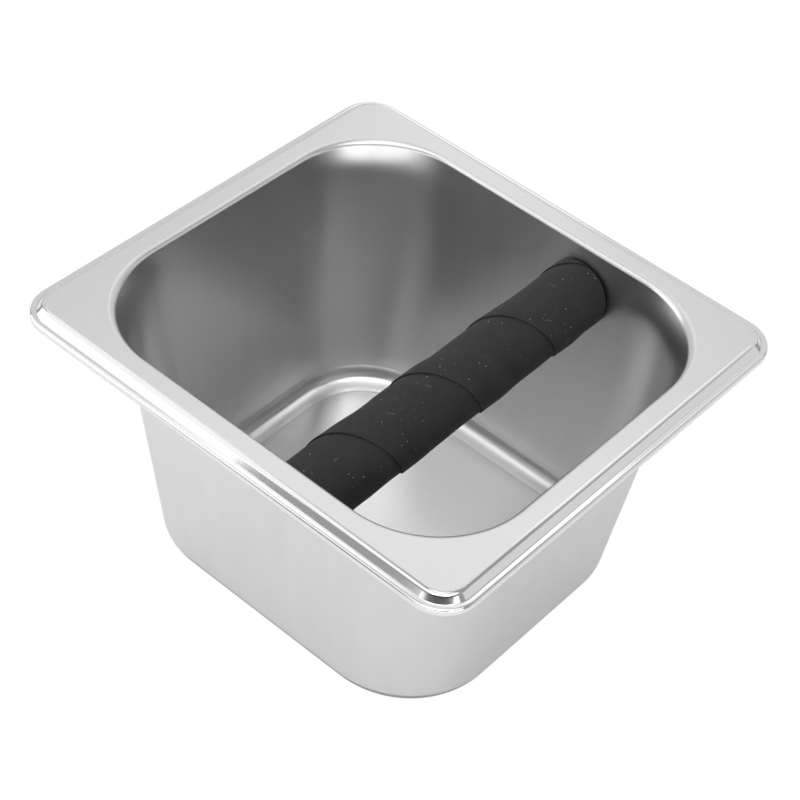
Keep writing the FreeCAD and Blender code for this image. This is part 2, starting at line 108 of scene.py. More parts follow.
# Mesh density
CORNER_STEPS = 28
SIDE_STEPS = 14
BEND_STEPS = 8
WIDE_BEND_STEPS = 14
RISE_FOOT_STEPS = 4
WALL_STEPS = 30
WALL_STEP_GROWTH = 1.6
FLOOR_STEPS = 10
DRILL_SIDES = 48
EVEN_SHADING_WEIGHT = 80

# ---------------------------------------------------------------- sizes of the bar

CORE_LOW, CORE_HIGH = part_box("bar_core_tube")
CUSHION_LOW, CUSHION_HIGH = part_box("cushion_sleeve")
BAR_X = (CORE_LOW.x + CORE_HIGH.x) / 2
BAR_Z = (CORE_LOW.z + CORE_HIGH.z) / 2
CUSHION_RADIUS = (CUSHION_HIGH.x - CUSHION_LOW.x) / 2
WALL_AT_BAR = PAN_WIDTH / 2 - TOP_SETBACK - (RIM_TOP - BAR_Z) * math.tan(DRAFT)

TAPE_GAP = 0.8 * MM
TAPE_PLY = 0.5 * MM
TAPE_PITCH = 37.0 * MM
TAPE_WIDTH = 44.0 * MM
TAPE_OVERLAP = TAPE_WIDTH - TAPE_PITCH
TAPE_SETTLE_RUN = 1.6 * TAPE_OVERLAP
TAPE_RADIUS = 11.62 * MM
TAPE_SEAM_ON_TOP = 30.0 * MM
TAPE_END_ROUND = 0.7 * MM
TAPE_CUT_ROUND = 0.12 * MM
TAPE_CUT_BEVEL = 0.3
TAPE_BETWEEN_PLIES = 0.05 * MM
TAPE_OVER_CUSHION = 0.06 * MM
TAPE_TURN_STEPS = 96
TAPE_ACROSS_STEPS = 56
MERGE_DISTANCE = 0.002 * MM

# Unevenness of the wound tape: heights, and waves along the bar in radians per metre
SWELL_BROAD = 0.16 * MM
SWELL_MIDDLE = 0.10 * MM
SWELL_FINE = 0.05 * MM
WAVE_BROAD = 74
WAVE_MIDDLE = 171
WAVE_FINE = 402


# ---------------------------------------------------------------- helpers for meshes

def make_mesh(name, points, faces, material):
    """Smooth mesh object at the origin, with one material."""
    mesh = bpy.data.meshes.new(name)
    mesh.from_pydata(points, [], faces)
    mesh.validate()
    mesh.update()
    mesh.shade_smooth()
    mesh.materials.append(material)
    thing = bpy.data.objects.new(name, mesh)
    scene.collection.objects.link(thing)
    return thing


def grid_faces(first, second, count):
    """Quads between two rings of count points, given by the number of each ring's first point."""
    faces = []
    for index in range(count):
        following = (index + 1) % count
        faces.append((first + index, first + following, second + following, second + index))
    return faces


def ring(inset, corner, height):
    """Level ring of points round a rounded rectangle, set back from the rim's outline."""
    half_length = PAN_LENGTH / 2 - inset
    half_width = PAN_WIDTH / 2 - inset
    arcs = []
    for quarter, (sign_x, sign_y) in enumerate(((1, 1), (-1, 1), (-1, -1), (1, -1))):
        centre = Vector((sign_x * (half_length - corner), sign_y * (half_width - corner), height))
        arc = []
        for step in range(CORNER_STEPS + 1):
            angle = math.pi / 2 * (quarter + step / CORNER_STEPS)
            arc.append(centre + Vector((math.cos(angle), math.sin(angle), 0)) * corner)
        arcs.append(arc)
    points = []
    for quarter, arc in enumerate(arcs):
        points += arc
        next_start = arcs[(quarter + 1) % len(arcs)][0]
        points += [arc[-1].lerp(next_start, step / SIDE_STEPS) for step in range(1, SIDE_STEPS)]
    return points


def arc_point(start, control, end, share):
    """Point on the conic arc that leaves start and reaches end, both tangents meeting at control."""
    turn = (control - start).angle(end - control, 0.0)
    weight = math.cos(turn / 2)
    a = (1 - share) ** 2
    b = 2 * share * (1 - share) * weight
    c = share ** 2
    return (start * a + control * b + end * c) / (a + b + c)


def bend_rings(start, control, end, steps):
    """Rings of a bend between two rings; control is the ring where the faces either side would meet."""
    rings = []
    for step in range(steps + 1):
        rings.append([arc_point(a, p, b, step / steps) for a, p, b in zip(start, control, end)])
    return rings


def between_rings(start, end, shares):
    """Rings on the straight lines from one ring to another."""
    return [[a.lerp(b, share) for a, b in zip(start, end)] for share in shares]


# ---------------------------------------------------------------- the pan

def wall_ring(depth, inwards=0.0):
    """The wall at a depth under the rim; its corners are tighter at the opening, where they flare."""
    inset = TOP_SETBACK + depth * math.tan(DRAFT) + inwards
    share = depth / (RIM_TOP - SHEET)
    corner = WALL_CORNER + (FLOOR_CORNER - WALL_CORNER) * share
    flare = max(0.0, 1 - depth / FLARE_DEPTH) ** 2
    opening_corner = FLANGE_CORNER - OPENING_RADIUS * BEND_REACH
    return ring(inset, corner + (opening_corner - WALL_CORNER) * flare, RIM_TOP - depth)


def rim_rings():
    """From the lip's lower edge up over the ledge and the sloping step to the flange."""

    def rim_ring(inset, height):
        return ring(inset, LIP_CORNER - inset, height)

    ledge = RIM_TOP - STEP_DROP
    across, up = math.cos(STEP_ANGLE), math.sin(STEP_ANGLE)
    foot_reach = STEP_FOOT_RADIUS * math.tan(STEP_ANGLE / 2)
    foot_start = rim_ring(STEP_INSET - foot_reach, ledge)
    foot = rim_ring(STEP_INSET, ledge)
    foot_end = rim_ring(STEP_INSET + foot_reach * across, ledge + foot_reach * up)
    top_reach = STEP_TOP_RADIUS * math.tan(STEP_ANGLE / 2)
    top_inset = STEP_INSET + STEP_RUN
    top_start = rim_ring(top_inset - top_reach * across, RIM_TOP - top_reach * up)
    top = rim_ring(top_inset, RIM_TOP)
    top_end = rim_ring(top_inset + top_reach, RIM_TOP)
    lip_start = rim_ring(0, ledge - LIP_EDGE_RADIUS)
    lip_end = rim_ring(LIP_EDGE_RADIUS, ledge)
    rings = [rim_ring(0, RIM_TOP - LIP_HEIGHT)]
    rings += bend_rings(lip_start, rim_ring(0, ledge), lip_end, BEND_STEPS)
    rings += bend_rings(foot_start, foot, foot_end, BEND_STEPS)
    rings += bend_rings(top_start, top, top_end, BEND_STEPS)
    return rings


def wall_rings(top_depth, base_depth):
    """The wall between its two bends, with the draw's line near its foot."""
    rings = []
    for step in range(1, WALL_STEPS):
        # Closer together near the top, where the corners flare
        share = (step / WALL_STEPS) ** WALL_STEP_GROWTH
        rings.append(wall_ring(top_depth + (base_depth - top_depth) * share))
    draw_line = base_depth - 2 * DRAW_LINE_HALF
    for offset, height in DRAW_LINE_PROFILE:
        rings.append(wall_ring(draw_line + offset * DRAW_LINE_HALF, height * DRAW_LINE_HEIGHT))
    return rings


def floor_rings(base_inset, base_corner):
    """From the gutter up the rise and over its crown to the innermost ring of the slightly domed floor."""

    def floor_ring(inset, height):
        return ring(inset, base_corner - (inset - base_inset), height)

    crown_height = SHEET + FLOOR_RISE
    crown_inset = RISE_SETBACK + RISE_RUN
    slope_share = RISE_REACH / math.hypot(RISE_RUN, FLOOR_RISE)
    foot_start = floor_ring(RISE_SETBACK - RISE_REACH, SHEET)
    foot = floor_ring(RISE_SETBACK, SHEET)
    crown = floor_ring(crown_inset, crown_height)
    foot_end = between_rings(foot, crown, [slope_share])[0]
    crown_end = floor_ring(crown_inset + RISE_CROWN_RUN, crown_height)
    rings = bend_rings(foot_start, foot, foot_end, RISE_FOOT_STEPS)
    rings += bend_rings(foot_end, crown, crown_end, WIDE_BEND_STEPS)[1:]
    for step in range(1, FLOOR_STEPS):
        share = 1 - step / FLOOR_STEPS
        lift = FLOOR_DOME * (1 - share ** 2) ** 2
        rings.append([Vector((p.x * share, p.y * share, p.z + lift)) for p in crown_end])
    return rings


def bowl_rings(flange_start):
    """Across the flange, down the opening's bend, the wall and the base bend, and over the floor."""
    base_reach = BASE_RADIUS * BEND_REACH
    base_inset = FLOOR_SETBACK + base_reach
    base_corner = FLOOR_CORNER - base_reach
    base_depth = RIM_TOP - SHEET - base_reach * math.cos(DRAFT)
    bend_depth = OPENING_RADIUS * BEND_REACH * math.cos(DRAFT)
    bend_start = ring(FLANGE_WIDTH, FLANGE_CORNER, RIM_TOP)
    base_end = ring(base_inset, base_corner, SHEET)
    rings = between_rings(flange_start, bend_start, FLANGE_SHARES)
    rings += bend_rings(bend_start, wall_ring(0), wall_ring(bend_depth), WIDE_BEND_STEPS)
    rings += wall_rings(bend_depth, base_depth)
    rings += bend_rings(wall_ring(base_depth), wall_ring(RIM_TOP - SHEET), base_end, WIDE_BEND_STEPS)
    rings += floor_rings(base_inset, base_corner)
    return rings


def sheet_normals(rings):
    """Unit normals of the upper face at every point of a grid of rings."""
    count = len(rings[0])
    normals = []
    for level, points in enumerate(rings):
        before = rings[max(level - 1, 0)]
        after = rings[min(level + 1, len(rings) - 1)]
        row = []
        for index in range(count):
            along = points[(index + 1) % count] - points[index - 1]
            inward = after[index] - before[index]
            row.append(along.cross(inward).normalized())
        normals.append(row)
    return normals


def cut_edge_rings(upper_edge, lower_edge):
    """The lip's rounded cut edge, from the upper face's edge to the lower face's."""
    rings = []
    for across, up in CUT_EDGE_PROFILE:
        raised = Vector((0, 0, up * CUT_EDGE_ROUND))
        rings.append([a.lerp(b, across) + raised for a, b in zip(upper_edge, lower_edge)])
    return rings


def make_pan(material):
    """The pressed sheet as one grid: lower face from the middle outwards, cut edge, upper face back in."""
    rim = rim_rings()
    upper = rim + bowl_rings(rim[-1])
    lower = []
    for points, normals in zip(upper, sheet_normals(upper)):
        lower.append([p - n * SHEET for p, n in zip(points, normals)])
    edge = cut_edge_rings(upper[0], lower[0])
    # Both faces end where the cut edge's rounding starts
    raised = Vector((0, 0, CUT_EDGE_ROUND))
    upper[0] = [p + raised for p in upper[0]]
    lower[0] = [p + raised for p in lower[0]]
    rings = lower[::-1] + edge[::-1] + upper

    count = len(upper[0])
    points = [tuple(p) for row in rings for p in row]
    faces = []
    for level in range(len(rings) - 1):
        faces += grid_faces(level * count, (level + 1) * count, count)
    upper_middle = len(points)
    lower_middle = upper_middle + 1
    points.append((0, 0, SHEET + FLOOR_RISE + FLOOR_DOME))
    points.append((0, 0, FLOOR_RISE + FLOOR_DOME))
    innermost = upper_middle - count
    for index in range(count):
        following = (index + 1) % count
        faces.append((innermost + index, innermost + following, upper_middle))
        faces.append((following, index, lower_middle))

    pan = make_mesh("pan", points, faces, material)
    rim_steps = len(rim) - 1
    upper_start = len(lower) + len(edge)
    mark_polish(pan, count, range(len(lower) - rim_steps, upper_start + rim_steps))
    add_pan_map(pan, rings, count)
    drill_pan(pan)
    weighted = pan.modifiers.new("even_shading", "WEIGHTED_NORMAL")
    weighted.weight = EVEN_SHADING_WEIGHT
    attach(pan, "root")
    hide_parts("pan_shell")


def mark_polish(pan, count, polished_rings):
    """Point attribute that is 1 on the polished lip, ledge and step and 0 elsewhere."""
    polish = pan.data.attributes.new("polish", "FLOAT", "POINT")
    for level in polished_rings:
        for index in range(count):
            polish.data[level * count + index].value = 1.0


def add_pan_map(pan, rings, count):
    """Map for the sheet's grain, in metres: along the innermost ring, and along the sheet's profile."""
    around = [0.0]
    for spot, following in zip(rings[0], rings[0][1:] + rings[0][:1]):
        around.append(around[-1] + (following - spot).length)
    along = [0.0]
    for before, after in zip(rings, rings[1:]):
        along.append(along[-1] + (after[0] - before[0]).length)
    along.append(along[-1] + rings[-1][0].length)
    layer = pan.data.uv_layers.new(name="sheet")
    for polygon in pan.data.polygons:
        spots = [divmod(pan.data.loops[index].vertex_index, count) for index in polygon.loop_indices]
        columns = [column for level, column in spots]
        closes_ring = max(columns) - min(columns) > count / 2
        for index, (level, column) in zip(polygon.loop_indices, spots):
            if closes_ring and column < count / 2:
                column = count
            layer.data[index].uv = (around[column], along[level])


def drill_pan(pan):
    """The two screw holes, square to the walls."""
    for name, end in (("drill_front", -1), ("drill_back", 1)):
        bpy.ops.mesh.primitive_cylinder_add(vertices=DRILL_SIDES, radius=SCREW_HOLE / 2, depth=DRILL_LENGTH)
        drill = bpy.context.object
        drill.name = name
        drill.location = (BAR_X, end * (WALL_AT_BAR + SHEET / 2), BAR_Z)
        drill.rotation_euler = (math.pi / 2 + end * DRAFT, 0, 0)
        drill.hide_render = True
        drill.hide_viewport = True
        hole = pan.modifiers.new(name, "BOOLEAN")
        hole.operation = "DIFFERENCE"
        hole.solver = "EXACT"
        hole.object = drill


# ---------------------------------------------------------------- the tape

def tape_swell(along, around):
    """Slow unevenness of the wound tape, where it was pulled more or less tight."""
    # Three waves that also turn with the angle round the bar; the loose numbers are turns and phases
    swell = SWELL_BROAD * math.sin(along * WAVE_BROAD + 1.3 * math.sin(around)) * math.cos(around - 0.6)
    swell += SWELL_MIDDLE * math.sin(along * WAVE_MIDDLE + 2.0 * around)
    swell += SWELL_FINE * math.sin(along * WAVE_FINE - 3.0 * around + 0.8)
    return swell


def tape_lift(across):
    """Height over the ply below: a full ply where it overlaps, running down as it leaves the overlap."""
    if across < TAPE_OVERLAP:
        return TAPE_PLY
    share = min(1.0, (across - TAPE_OVERLAP) / TAPE_SETTLE_RUN)
    return TAPE_PLY * (0.5 + 0.5 * math.cos(math.pi * share))


def tape_limit(height):
    """How far the tape reaches along the bar at a height: to the wall, less the gap."""
    return WALL_AT_BAR - TAPE_GAP + (height - BAR_Z) * math.tan(DRAFT)


def tape_point(turn_angle, across, depth):
    """Point on the tape, by angle travelled, distance from its cut edge and depth below its face."""
    # Angle 0 is the bar's top; positive angles go over towards +X
    along = TAPE_SEAM_ON_TOP + TAPE_PITCH * turn_angle / (2 * math.pi) + across
    radius = TAPE_RADIUS + tape_lift(across) + tape_swell(along, turn_angle) - depth
    limit = tape_limit(BAR_Z + radius * math.cos(turn_angle))
    past_round = abs(along) - (limit - TAPE_END_ROUND)
    if past_round > 0:
        share = min(past_round / TAPE_END_ROUND, 1.0)
        drop = TAPE_END_ROUND * (1 - math.sqrt(1 - share ** 2))
        radius = max(radius - drop, CUSHION_RADIUS + TAPE_OVER_CUSHION)
        along = math.copysign(min(abs(along), limit), along)
    return (BAR_X + radius * math.sin(turn_angle), along, BAR_Z + radius * math.cos(turn_angle))


def tape_section():
    """The strip's cross-section as distances from its cut edge and depths: face first, then its back."""
    shares = [step / TAPE_ACROSS_STEPS for step in range(TAPE_ACROSS_STEPS + 1)]
    bevel = TAPE_CUT_BEVEL * TAPE_CUT_ROUND
    section = [(0.0, TAPE_CUT_ROUND), (bevel, bevel), (TAPE_CUT_ROUND, 0.0)]
    section += [(TAPE_WIDTH * share, 0.0) for share in shares[1:]]
    section += [(TAPE_WIDTH * share, TAPE_PLY - TAPE_BETWEEN_PLIES) for share in reversed(shares)]
    return section


def make_tape(material):
    """One strip wound in a spiral, every turn lapping over the end of the one before it."""
    section = tape_section()
    count = len(section)
    # Enough turns to pass both ends of the bar at its longest; tape_point trims them to the walls
    half = tape_limit(BAR_Z + 2 * TAPE_RADIUS)
    first_turn = math.floor((-half - TAPE_WIDTH - TAPE_SEAM_ON_TOP) / TAPE_PITCH)
    last_turn = math.ceil((half - TAPE_SEAM_ON_TOP) / TAPE_PITCH)
    rows = (last_turn - first_turn) * TAPE_TURN_STEPS + 1
    angles = [2 * math.pi * (first_turn + row / TAPE_TURN_STEPS) for row in range(rows)]
    points = [tape_point(angle, across, depth) for angle in angles for across, depth in section]
    faces = []
    for row in range(rows - 1):
        faces += grid_faces(row * count, (row + 1) * count, count)
    tape = make_mesh("wound_tape", points, faces, material)
    add_tape_map(tape, angles, section)
    clean_mesh(tape)
    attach(tape, "root")
    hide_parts("grip_tape")


def add_tape_map(tape, angles, section):
    """Lengths along and across the strip, in metres, for its weave."""
    layer = tape.data.uv_layers.new(name="strip")
    for loop in tape.data.loops:
        row, column = divmod(loop.vertex_index, len(section))
        layer.data[loop.index].uv = (angles[row] * TAPE_RADIUS, section[column][0])


def clean_mesh(thing):
    """Merges the points that fell together where the strip is trimmed."""
    work = bmesh.new()
    work.from_mesh(thing.data)
    bmesh.ops.remove_doubles(work, verts=work.verts, dist=MERGE_DISTANCE)
    bmesh.ops.dissolve_degenerate(work, dist=MERGE_DISTANCE, edges=work.edges)
    work.to_mesh(thing.data)
    work.free()


# ---------------------------------------------------------------- helpers for materials

# Most of a noise texture's values lie in this span
NOISE_SPAN = (0.3, 0.7)


def new_material(name):
    """Node material with a Principled shader; returns material, node tree and shader."""
    material = bpy.data.materials.new(name)
    material.use_nodes = True
    tree = material.node_tree
    return material, tree, tree.nodes["Principled BSDF"]


def feed(tree, socket, value):
    """Gives an input socket another node's output or a plain value."""
    if isinstance(value, bpy.types.NodeSocket):
        tree.links.new(value, socket)
    else:
        socket.default_value = value


def add_node(tree, kind, **inputs):
    """Adds a node; inputs are plain values or sockets, by input name with underscores for spaces."""
    node = tree.nodes.new(kind)
    for name, value in inputs.items():
        feed(tree, node.inputs[name.replace("_", " ")], value)
    return node


def maths(tree, operation, first, second=0.0):
    """Math node on sockets or numbers; returns its output."""
    node = tree.nodes.new("ShaderNodeMath")
    node.operation = operation
    feed(tree, node.inputs[0], first)
    feed(tree, node.inputs[1], second)
    return node.outputs[0]


def product(tree, first, second):
    """Two values multiplied."""
    return maths(tree, "MULTIPLY", first, second)


def total(tree, first, *others):
    """Values added together in turn."""
    for other in others:
        first = maths(tree, "ADD", first, other)
    return first


def vector_maths(tree, operation, first, second):
    """Vector Math node on sockets or vectors; returns the node."""
    node = tree.nodes.new("ShaderNodeVectorMath")
    node.operation = operation
    feed(tree, node.inputs[0], first)
    feed(tree, node.inputs[1], second)
    return node


def remap(tree, value, span, to):
    """Takes a value from one span to another, held within it."""
    node = add_node(tree, "ShaderNodeMapRange", Value=value, From_Min=span[0], From_Max=span[1],
                    To_Min=to[0], To_Max=to[1])
    return node.outputs["Result"]


def mix_values(tree, share, first, second):
    """First value where share is 0, second where it is 1."""
    node = tree.nodes.new("ShaderNodeMix")
    node.data_type = "FLOAT"
    for index, value in ((0, share), (2, first), (3, second)):
        feed(tree, node.inputs[index], value)
    return node.outputs[0]


def object_place(tree):
    """Position on the object, in metres."""
    return tree.nodes.new("ShaderNodeTexCoord").outputs["Object"]


def map_place(tree, name):
    """Position on one of a mesh's own maps, in metres."""
    node = tree.nodes.new("ShaderNodeUVMap")
    node.uv_map = name
    return node.outputs["UV"]


def noise(tree, place, per_metre, detail=3.0, roughness=0.6):
    """Noise with so many cells per metre, either one number or one for each axis."""
    if isinstance(per_metre, (int, float)):
        per_metre = (per_metre, per_metre, per_metre)
    mapping = add_node(tree, "ShaderNodeMapping", Vector=place, Scale=per_metre)
    node = add_node(tree, "ShaderNodeTexNoise", Vector=mapping.outputs["Vector"], Scale=1.0,
                    Detail=detail, Roughness=roughness)
    return node.outputs["Fac"]


def grey(tree, value):
    """A grey colour from a value."""
    node = add_node(tree, "ShaderNodeCombineColor", Red=value, Green=value, Blue=value)
    return node.outputs[0]


def finish(tree, shader, tone, roughness, height, bump_strength, bump_distance):
    """Connects a surface's grey tone, its roughness and its fine relief."""
    relief = add_node(tree, "ShaderNodeBump", Height=height, Strength=bump_strength,
                      Distance=bump_distance)
    feed(tree, shader.inputs["Base Color"], grey(tree, tone))
    feed(tree, shader.inputs["Roughness"], roughness)
    feed(tree, shader.inputs["Normal"], relief.outputs["Normal"])


# ---------------------------------------------------------------- steel and rubber

PAN_TONE = 0.64
POLISHED_TONE = 0.72
SATIN_ROUGHNESS = 0.305
POLISHED_ROUGHNESS = 0.09
# Steepness, as the upright part of the normal, over which walls turn into level faces
WALL_SPAN = (0.35, 0.7)
# Patterns: cells per metre of the map each uses, and how far they move the roughness and the tone
DRAW_GRAIN = (1500, 25, 1)
SATIN_GRAIN = 1300
GRAIN_ROUGHNESS = (-0.01, 0.01)
GRAIN_TONE = (-0.012, 0.012)
DRAW_STREAKS = (260, 4, 1)
STREAK_ROUGHNESS = (-0.006, 0.008)
STREAK_TONE = (-0.006, 0.005)
SMUDGES = 26
SMUDGE_ROUGHNESS = (-0.008, 0.012)
SHEET_BUMP = 0.02
POLISHED_OFF = 0.8
FINE_RELIEF = 0.02 * MM


def make_pan_steel():
    """Drawn stainless sheet: grain down the walls, satin flange and floor, polished step and lip."""
    material, tree, shader = new_material("pan_steel_satin")
    place = object_place(tree)
    sheet = map_place(tree, "sheet")
    polish = tree.nodes.new("ShaderNodeAttribute")
    polish.attribute_name = "polish"
    polished = polish.outputs["Fac"]
    normal = tree.nodes.new("ShaderNodeNewGeometry").outputs["True Normal"]
    upright = add_node(tree, "ShaderNodeSeparateXYZ", Vector=normal).outputs["Z"]
    wall = remap(tree, maths(tree, "ABSOLUTE", upright), WALL_SPAN, (1.0, 0.0))

    draw_grain = noise(tree, sheet, DRAW_GRAIN, 1.0, 0.5)
    satin_grain = noise(tree, place, SATIN_GRAIN, 1.0, 0.5)
    streaks = noise(tree, sheet, DRAW_STREAKS, 2.0, 0.5)
    smudge = noise(tree, place, SMUDGES, 3.0, 0.55)
    grain = mix_values(tree, wall, satin_grain, draw_grain)

    rough = total(tree, mix_values(tree, polished, SATIN_ROUGHNESS, POLISHED_ROUGHNESS),
                  remap(tree, smudge, NOISE_SPAN, SMUDGE_ROUGHNESS),
                  remap(tree, grain, NOISE_SPAN, GRAIN_ROUGHNESS),
                  product(tree, remap(tree, streaks, (0.35, 0.7), STREAK_ROUGHNESS), wall))
    tone = total(tree, mix_values(tree, polished, PAN_TONE, POLISHED_TONE),
                 remap(tree, grain, NOISE_SPAN, GRAIN_TONE),
                 product(tree, remap(tree, streaks, NOISE_SPAN, STREAK_TONE), wall))
    left_rough = maths(tree, "SUBTRACT", 1.0, product(tree, polished, POLISHED_OFF))
    finish(tree, shader, tone, rough, product(tree, grain, left_rough), SHEET_BUMP, FINE_RELIEF)
    shader.inputs["Metallic"].default_value = 1.0
    return material


TURNED_STAINS = 180
STAIN_TONE = (-0.05, 0.02)
STAIN_ROUGHNESS = (0.0, 0.06)
TURNED_GRAIN_ROUGHNESS = 0.06
TURNED_BUMP = 0.15


def make_turned_steel(name, tone, roughness, grain_per_metre):
    """Plain stainless for the tube, plugs, screws and washers."""
    material, tree, shader = new_material(name)
    place = object_place(tree)
    grain = noise(tree, place, grain_per_metre)
    stain = noise(tree, place, TURNED_STAINS)
    stained_tone = remap(tree, stain, NOISE_SPAN, [tone + change for change in STAIN_TONE])
    grain_span = (roughness - TURNED_GRAIN_ROUGHNESS, roughness + TURNED_GRAIN_ROUGHNESS)
    rough = total(tree, remap(tree, grain, NOISE_SPAN, grain_span),
                  remap(tree, stain, (0.4, 0.7), STAIN_ROUGHNESS))
    finish(tree, shader, stained_tone, rough, grain, TURNED_BUMP, FINE_RELIEF)
    shader.inputs["Metallic"].default_value = 1.0
    return material


RUBBER_GRAIN = 2400
RUBBER_MOTTLE = 140
RUBBER_TONE = (0.012, 0.024)
RUBBER_ROUGHNESS = (0.62, 0.82)
RUBBER_BUMP = 0.4
RUBBER_RELIEF = 0.05 * MM


def make_sleeve_rubber():
    """Matt black rubber with a fine moulded texture."""
    material, tree, shader = new_material("cushion_rubber_black")
    place = object_place(tree)
    fine = noise(tree, place, RUBBER_GRAIN)
    tone = remap(tree, noise(tree, place, RUBBER_MOTTLE), NOISE_SPAN, RUBBER_TONE)
    rough = remap(tree, fine, NOISE_SPAN, RUBBER_ROUGHNESS)
    finish(tree, shader, tone, rough, fine, RUBBER_BUMP, RUBBER_RELIEF)
    return material


# ---------------------------------------------------------------- cloth tape

TWILL_PITCH = 0.55 * MM
TWILL_ANGLE = math.radians(62)
TWILL_WANDER = 0.5 * MM
THREADS = 2600
THREAD_RELIEF = 0.8
MOTTLE = 160
TAPE_TONE = 0.008
MOTTLE_TONE = (-0.004, 0.006)
RIB_TONE = 0.022
LITTER_TONE = 0.30
TAPE_ROUGHNESS = (0.62, 0.80)
TAPE_SHINE = 0.35
TAPE_SHEEN = 0.05
TAPE_SHEEN_ROUGHNESS = 0.4
TAPE_BUMP = 0.5
TAPE_RELIEF = 0.06 * MM
SPECK_SPACING = 2.1 * MM
SPECK_RADIUS = (0.10 * MM, 0.28 * MM)
# Share of the specks' cells left empty, from the clean places to the crowded ones
SPECKS_LEFT_OUT = (0.90, 0.45)
FIBRE_SPACING = 9.0 * MM
FIBRES_LEFT_OUT = 0.84
FIBRE_BEND = (30.0, 420.0)
FIBRE_EDGE = (0.02 * MM, 0.09 * MM)
FIBRE_END = (0.8 * MM, 1.2 * MM)
FIBRE_SHADE = 0.55


def scattered_spots(tree, place, spacing):
    """One spot to a cell: offset from the nearest spot, in metres, and three random numbers of its cell."""
    mapping = add_node(tree, "ShaderNodeMapping", Vector=place, Scale=(1 / spacing, 1 / spacing, 1))
    cells = tree.nodes.new("ShaderNodeTexVoronoi")
    cells.voronoi_dimensions = "2D"
    feed(tree, cells.inputs["Vector"], mapping.outputs["Vector"])
    feed(tree, cells.inputs["Scale"], 1.0)
    offset = vector_maths(tree, "SUBTRACT", mapping.outputs["Vector"], cells.outputs["Position"])
    split = add_node(tree, "ShaderNodeSeparateXYZ", Vector=offset.outputs["Vector"])
    chance = add_node(tree, "ShaderNodeSeparateColor", Color=cells.outputs["Color"])
    spot = [product(tree, split.outputs[axis], spacing) for axis in ("X", "Y")]
    return spot, [chance.outputs[name] for name in ("Red", "Green", "Blue")]


def dust_specks(tree, strip, place):
    """Specks of dust, thicker in some places than in others, each with its own size and brightness."""
    (along, across), (picked, size, shine) = scattered_spots(tree, strip, SPECK_SPACING)
    away_squared = total(tree, product(tree, along, along), product(tree, across, across))
    radius = remap(tree, size, (0.0, 1.0), SPECK_RADIUS)
    past_middle = maths(tree, "DIVIDE", maths(tree, "SQRT", away_squared), radius)
    speck = remap(tree, maths(tree, "SUBTRACT", 1.0, past_middle), (0.0, 0.5), (0.0, 1.0))
    left_out = remap(tree, noise(tree, place, 55, 2.0, 0.5), (0.45, 0.62), SPECKS_LEFT_OUT)
    speck = product(tree, speck, maths(tree, "GREATER_THAN", picked, left_out))
    return product(tree, speck, maths(tree, "POWER", shine, 2.0))


def loose_fibres(tree, strip):
    """Short curled fibres lying on the tape."""
    (along, across), (picked, turn, curl) = scattered_spots(tree, strip, FIBRE_SPACING)
    angle = product(tree, turn, 2 * math.pi)
    cosine = maths(tree, "COSINE", angle)
    sine = maths(tree, "SINE", angle)
    length = total(tree, product(tree, along, cosine), product(tree, across, sine))
    side = maths(tree, "SUBTRACT", product(tree, across, cosine), product(tree, along, sine))
    bend = product(tree, remap(tree, curl, (0.0, 1.0), FIBRE_BEND), product(tree, length, length))
    from_curve = maths(tree, "ABSOLUTE", maths(tree, "SUBTRACT", side, bend))
    fibre = remap(tree, from_curve, FIBRE_EDGE, (FIBRE_SHADE, 0.0))
    reach = remap(tree, maths(tree, "ABSOLUTE", length), FIBRE_END, (1.0, 0.0))
    return product(tree, product(tree, fibre, reach), maths(tree, "GREATER_THAN", picked, FIBRES_LEFT_OUT))


def make_tape_cloth():
    """Black twill cloth tape: fine slanting ribs, rubbed highlights, specks of dust and a few fibres."""
    material, tree, shader = new_material("tape_cloth_black")
    strip = map_place(tree, "strip")
    place = object_place(tree)
    split = add_node(tree, "ShaderNodeSeparateXYZ", Vector=strip)
    wander = remap(tree, noise(tree, place, 90, 2.0, 0.5), (0.0, 1.0), (-TWILL_WANDER, TWILL_WANDER))
    slant = total(tree, product(tree, split.outputs["X"], math.sin(TWILL_ANGLE)),
                  product(tree, split.outputs["Y"], math.cos(TWILL_ANGLE)), wander)
    wave = maths(tree, "SINE", product(tree, slant, 2 * math.pi / TWILL_PITCH))
    rib = remap(tree, wave, (-1.0, 1.0), (0.0, 1.0))
    thread = noise(tree, place, THREADS, 2.0)
    mottle = noise(tree, place, MOTTLE, 4.0)
    litter = maths(tree, "MAXIMUM", dust_specks(tree, strip, place), loose_fibres(tree, strip))

    tone = total(tree, remap(tree, mottle, NOISE_SPAN, MOTTLE_TONE), TAPE_TONE,
                 product(tree, product(tree, rib, thread), RIB_TONE), product(tree, litter, LITTER_TONE))
    rough = remap(tree, mottle, NOISE_SPAN, TAPE_ROUGHNESS)
    height = total(tree, rib, product(tree, thread, THREAD_RELIEF))
    finish(tree, shader, tone, rough, height, TAPE_BUMP, TAPE_RELIEF)
    shader.inputs["Specular IOR Level"].default_value = TAPE_SHINE
    shader.inputs["Sheen Weight"].default_value = TAPE_SHEEN
    shader.inputs["Sheen Roughness"].default_value = TAPE_SHEEN_ROUGHNESS
    return material


# ---------------------------------------------------------------- studio

# Bearing from -Y towards +X, and elevation, in degrees; lens and sensor in millimetres
CAMERA_BEARING = 36.15
CAMERA_ELEVATION = 44.92
CAMERA_ROLL = math.radians(6.85)
CAMERA_TARGET = Vector((12.54 * MM, 7.57 * MM, RIM_TOP - 40.0 * MM))
CAMERA_DISTANCE = 660.3 * MM
CAMERA_LENS = 92.36
CAMERA_SENSOR = 36.0
CAMERA_SHIFT = (-0.05, 0.023)

FLOOR_SIZE = 6.0
FLOOR_TONE = 0.92
FLOOR_TOUCH = 6.0 * MM

WORLD_STRENGTH = 0.42
